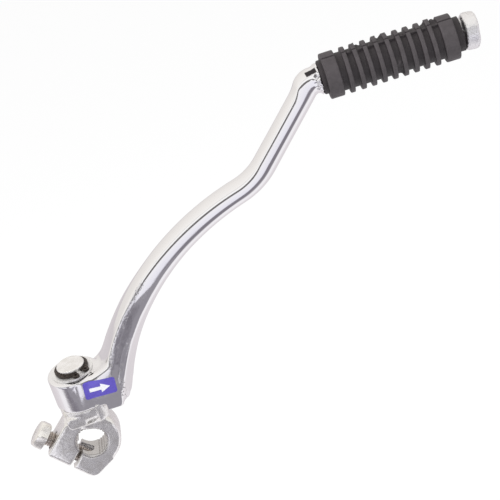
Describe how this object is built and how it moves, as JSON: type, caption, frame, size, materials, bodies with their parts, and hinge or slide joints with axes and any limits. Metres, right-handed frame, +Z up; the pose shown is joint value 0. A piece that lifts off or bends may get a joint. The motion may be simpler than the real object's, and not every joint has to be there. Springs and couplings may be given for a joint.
{
  "type": "kick start lever",
  "caption": "Folding motorcycle kick start lever: splined split clamp, leaning pivot post, S-shaped forged arm and ribbed rubber pedal.",
  "frame": {"origin": "on the splined bore's axis, at the middle of its length", "axes": "+Y along the bore towards the engine, +X the way the folded pedal points, +Z up towards the pivot post"},
  "size_m": [0.2642, 0.044, 0.1772],
  "materials": {
    "zinc_plated": "satin",
    "chrome": "gloss",
    "rubber": "matte",
    "bolt_steel": "satin",
    "washer_steel": "satin",
    "spring_steel": "satin",
    "ball_steel": "gloss",
    "spring_wire": "satin"
  },
  "bodies": {
    "clamp": {"clamp_boss": "zinc_plated", "pinch_bolt": "bolt_steel", "circlip": "spring_steel", "thrust_washer": "washer_steel", "detent_spring": "spring_wire"},
    "arm": {"kick_arm": "chrome", "pedal_rubber": "rubber"},
    "ball": {"detent_ball": "ball_steel"}
  },
  "joints": [
    {"name": "fold_out", "type": "hinge", "parent": "clamp", "child": "arm", "pos_m": [0.0028, -0.00469, 0.02963], "axis": [0, 0.1564, -0.9877], "range_deg": [0, 90]},
    {"name": "detent_click", "type": "slide", "parent": "clamp", "child": "ball", "axis": [0, -0.1564, 0.9877], "range_m": [-0.0006, 0], "stiffness_N_per_m": 1000, "deforming": ["detent_spring"]}
  ]
}
